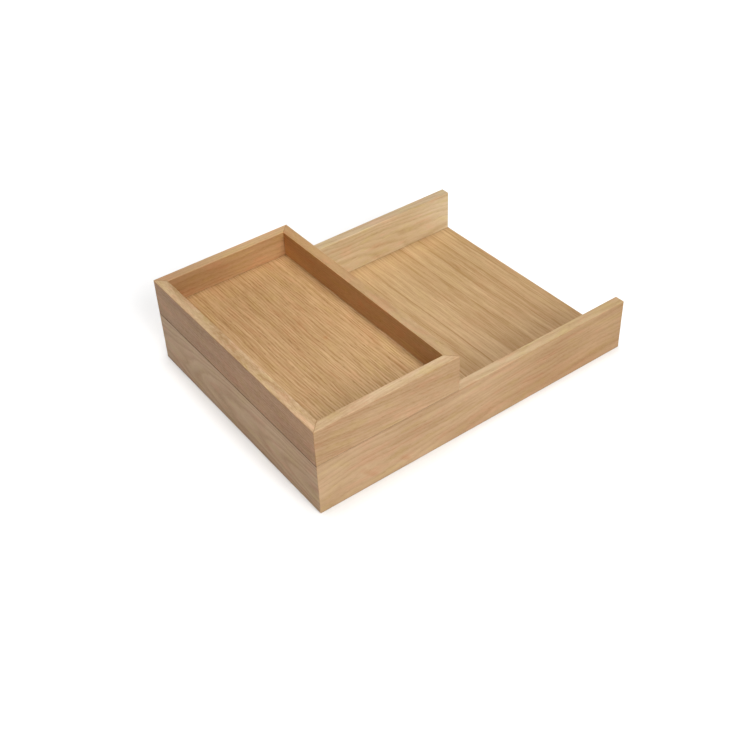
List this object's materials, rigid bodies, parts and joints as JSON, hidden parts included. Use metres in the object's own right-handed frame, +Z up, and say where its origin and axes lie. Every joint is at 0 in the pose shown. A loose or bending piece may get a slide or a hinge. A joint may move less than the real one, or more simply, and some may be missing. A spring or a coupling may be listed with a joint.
{
  "type": "two-tier drawer organizer insert",
  "caption": "Wide wooden tray with one open end, and a shallow wooden tray that slides along the top of its walls.",
  "frame": {"origin": "middle of the rectangle that the lower tray covers, at its base", "axes": "+X from the closed end towards the open end of the lower tray, +Y to the left as seen from the closed end, +Z up"},
  "size_m": [0.342, 0.26, 0.09],
  "materials": {
    "oak_solid": "solid pale oak, sanded smooth, clear matt lacquer, edges eased 0.6 mm",
    "oak_veneer": "floor panel faced with oak veneer leaves, grain across the tray, clear matt lacquer",
    "oak_batten": "planed oak strip, unlacquered, waxed where it slides",
    "spline_wood": "bare beech tongue, glued in"
  },
  "bodies": {
    "lower_tray": {"lower_end_wall": "oak_solid", "lower_side_wall_left": "oak_solid", "lower_side_wall_right": "oak_solid", "lower_floor_panel": "oak_veneer", "lower_floor_lipping": "oak_solid", "lower_mitre_spline_left": "spline_wood", "lower_mitre_spline_right": "spline_wood"},
    "upper_tray": {"upper_end_wall": "oak_solid", "upper_inner_wall": "oak_solid", "upper_side_wall_left": "oak_solid", "upper_side_wall_right": "oak_solid", "upper_floor_panel": "oak_veneer", "upper_mitre_spline_end_left": "spline_wood", "upper_mitre_spline_end_right": "spline_wood", "upper_mitre_spline_inner_left": "spline_wood", "upper_mitre_spline_inner_right": "spline_wood", "guide_batten_left": "oak_batten", "guide_batten_right": "oak_batten"}
  },
  "joints": [
    {"name": "upper_tray_slide", "type": "slide", "parent": "lower_tray", "child": "upper_tray", "axis": [1, 0, 0], "range_m": [0, 0.196]}
  ]
}
